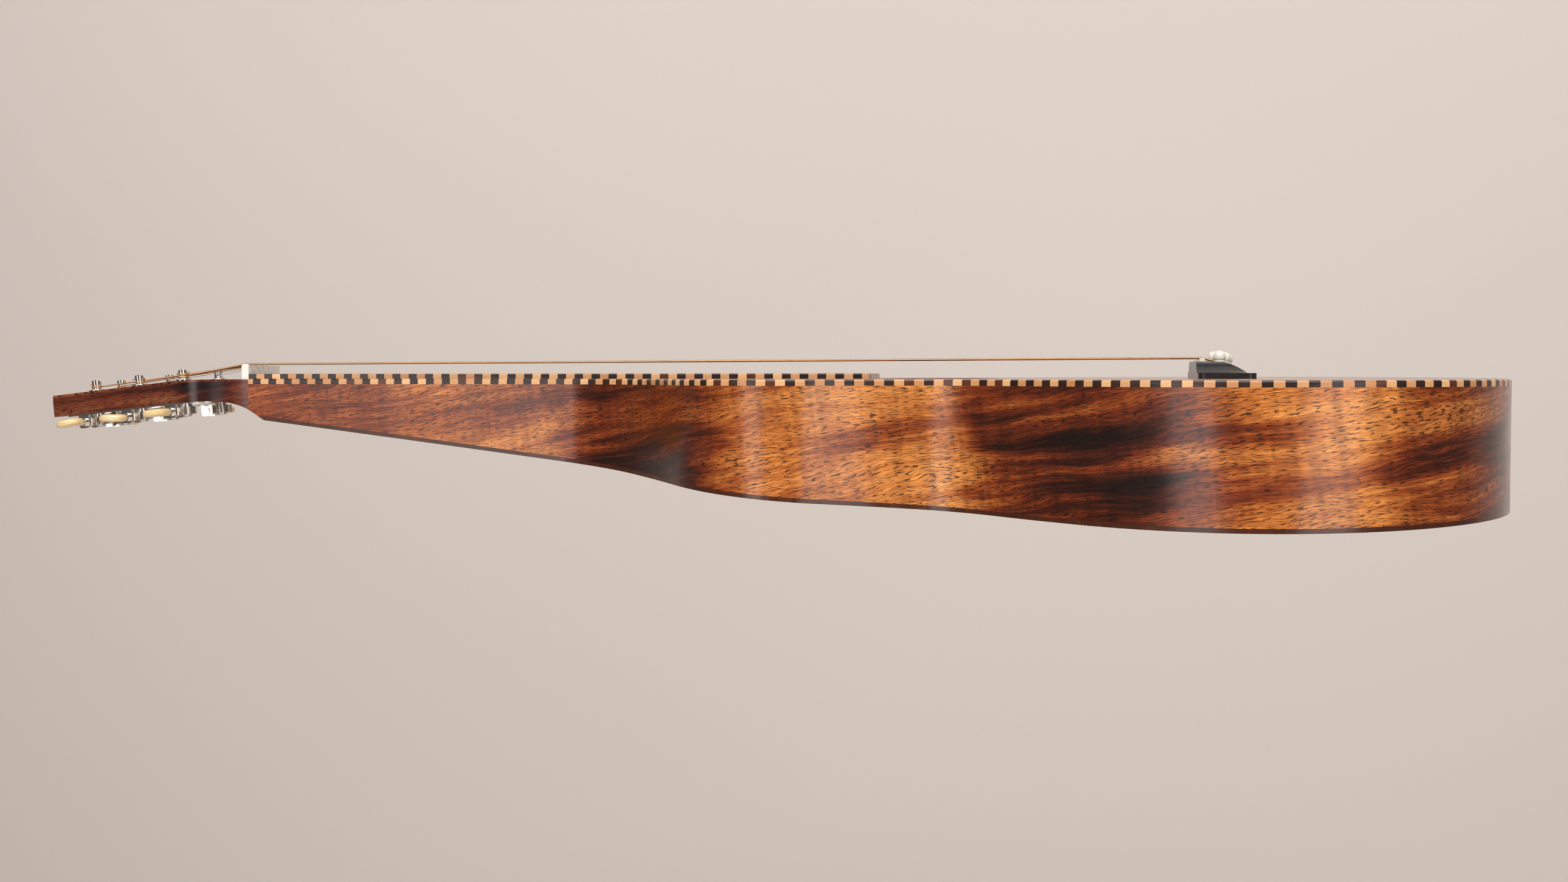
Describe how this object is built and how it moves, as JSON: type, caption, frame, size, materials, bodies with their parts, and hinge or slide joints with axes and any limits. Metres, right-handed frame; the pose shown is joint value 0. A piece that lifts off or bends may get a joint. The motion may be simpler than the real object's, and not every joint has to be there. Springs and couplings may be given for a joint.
{
  "type": "acoustic lap steel guitar",
  "caption": "Hollow-neck acoustic lap steel guitar with a waisted body, tapered depth, rope binding, round soundhole, pin bridge and geared tuning machines.",
  "frame": {"origin": "bottom centre of the whole object's box, level with the lowest line of the curved back", "axes": "+X from the headstock to the tail, +Y to the treble side, +Z out of the soundboard"},
  "size_m": [0.9586, 0.442, 0.0961],
  "materials": {
    "koa_top": "gloss lacquer over figured koa",
    "koa_back": "gloss lacquer over figured koa",
    "koa_side": "gloss lacquer over figured koa",
    "koa_head": "gloss lacquer, darker red-brown",
    "mahogany": "bare",
    "lining_wood": "bare",
    "spruce": "bare",
    "rope_binding": "lacquered maple and walnut blocks",
    "rosewood": "oiled",
    "fret_metal": "polished nickel silver, flush",
    "pearl": "mother of pearl",
    "ebony": "polished",
    "bone": "polished bone",
    "ivoroid_pin": "polished",
    "ivoroid": "grained cream celluloid",
    "bronze_string": "wound phosphor bronze",
    "steel_string": "plain drawn wire",
    "nickel": "polished nickel plate"
  },
  "bodies": {
    "body": {"back": "koa_back", "back_braces": "spruce", "back_linings": "lining_wood", "bass_side": "koa_side", "bass_tuner_plate": "nickel", "body_binding": "rope_binding", "bridge": "ebony", "bridge_pins": "ivoroid_pin", "bridge_plate": "spruce", "cross_braces": "spruce", "fretboard": "rosewood", "fretboard_binding": "rope_binding", "frets": "fret_metal", "head_veneer": "koa_head", "headstock": "koa_head", "neck_block": "mahogany", "nut": "bone", "plain_strings": "steel_string", "plate_screws": "nickel", "position_markers": "pearl", "post_bushings": "nickel", "rosette": "rope_binding", "saddle": "bone", "soundboard": "koa_top", "tail_block": "mahogany", "top_linings": "lining_wood", "treble_side": "koa_side", "treble_tuner_plate": "nickel", "wound_strings": "bronze_string", "x_braces": "spruce"},
    "post_6": {"post_6": "nickel", "gear_6": "nickel", "winding_6": "bronze_string"},
    "key_6": {"worm_6": "nickel", "button_6": "ivoroid"},
    "post_5": {"post_5": "nickel", "gear_5": "nickel", "winding_5": "bronze_string"},
    "key_5": {"worm_5": "nickel", "button_5": "ivoroid"},
    "post_4": {"post_4": "nickel", "gear_4": "nickel", "winding_4": "bronze_string"},
    "key_4": {"worm_4": "nickel", "button_4": "ivoroid"},
    "post_3": {"post_3": "nickel", "gear_3": "nickel", "winding_3": "bronze_string"},
    "key_3": {"worm_3": "nickel", "button_3": "ivoroid"},
    "post_2": {"post_2": "nickel", "gear_2": "nickel", "winding_2": "steel_string"},
    "key_2": {"worm_2": "nickel", "button_2": "ivoroid"},
    "post_1": {"post_1": "nickel", "gear_1": "nickel", "winding_1": "steel_string"},
    "key_1": {"worm_1": "nickel", "button_1": "ivoroid"}
  },
  "joints": [
    {"name": "key_6_turn", "type": "hinge", "parent": "body", "child": "key_6", "pos_m": [-0.38488, -0.02376, 0.05612], "axis": [0.1207, 0.9926, 0.0129], "continuous": true},
    {"name": "post_6_turn", "type": "hinge", "parent": "body", "child": "post_6", "pos_m": [-0.37859, -0.0248, 0.07761], "axis": [-0.1063, 0, 0.9943], "continuous": true},
    {"name": "key_5_turn", "type": "hinge", "parent": "body", "child": "key_5", "pos_m": [-0.41998, -0.01946, 0.05237], "axis": [0.1207, 0.9926, 0.0129], "continuous": true},
    {"name": "post_5_turn", "type": "hinge", "parent": "body", "child": "post_5", "pos_m": [-0.41369, -0.0205, 0.07386], "axis": [-0.1063, 0, 0.9943], "continuous": true},
    {"name": "key_4_turn", "type": "hinge", "parent": "body", "child": "key_4", "pos_m": [-0.45508, -0.01516, 0.04862], "axis": [0.1207, 0.9926, 0.0129], "continuous": true},
    {"name": "post_4_turn", "type": "hinge", "parent": "body", "child": "post_4", "pos_m": [-0.44879, -0.0162, 0.07011], "axis": [-0.1063, 0, 0.9943], "continuous": true},
    {"name": "key_3_turn", "type": "hinge", "parent": "body", "child": "key_3", "pos_m": [-0.45508, 0.01516, 0.04862], "axis": [-0.1207, 0.9926, -0.0129], "continuous": true},
    {"name": "post_3_turn", "type": "hinge", "parent": "body", "child": "post_3", "pos_m": [-0.44879, 0.0162, 0.07011], "axis": [-0.1063, 0, 0.9943], "continuous": true},
    {"name": "key_2_turn", "type": "hinge", "parent": "body", "child": "key_2", "pos_m": [-0.41998, 0.01946, 0.05237], "axis": [-0.1207, 0.9926, -0.0129], "continuous": true},
    {"name": "post_2_turn", "type": "hinge", "parent": "body", "child": "post_2", "pos_m": [-0.41369, 0.0205, 0.07386], "axis": [-0.1063, 0, 0.9943], "continuous": true},
    {"name": "key_1_turn", "type": "hinge", "parent": "body", "child": "key_1", "pos_m": [-0.38488, 0.02376, 0.05612], "axis": [-0.1207, 0.9926, -0.0129], "continuous": true},
    {"name": "post_1_turn", "type": "hinge", "parent": "body", "child": "post_1", "pos_m": [-0.37859, 0.0248, 0.07761], "axis": [-0.1063, 0, 0.9943], "continuous": true}
  ],
  "couplings": [
    {"joint": "post_6_turn", "follows": "key_6_turn", "ratio": 0.071429},
    {"joint": "post_5_turn", "follows": "key_5_turn", "ratio": 0.071429},
    {"joint": "post_4_turn", "follows": "key_4_turn", "ratio": 0.071429},
    {"joint": "post_3_turn", "follows": "key_3_turn", "ratio": 0.071429},
    {"joint": "post_2_turn", "follows": "key_2_turn", "ratio": 0.071429},
    {"joint": "post_1_turn", "follows": "key_1_turn", "ratio": 0.071429}
  ]
}
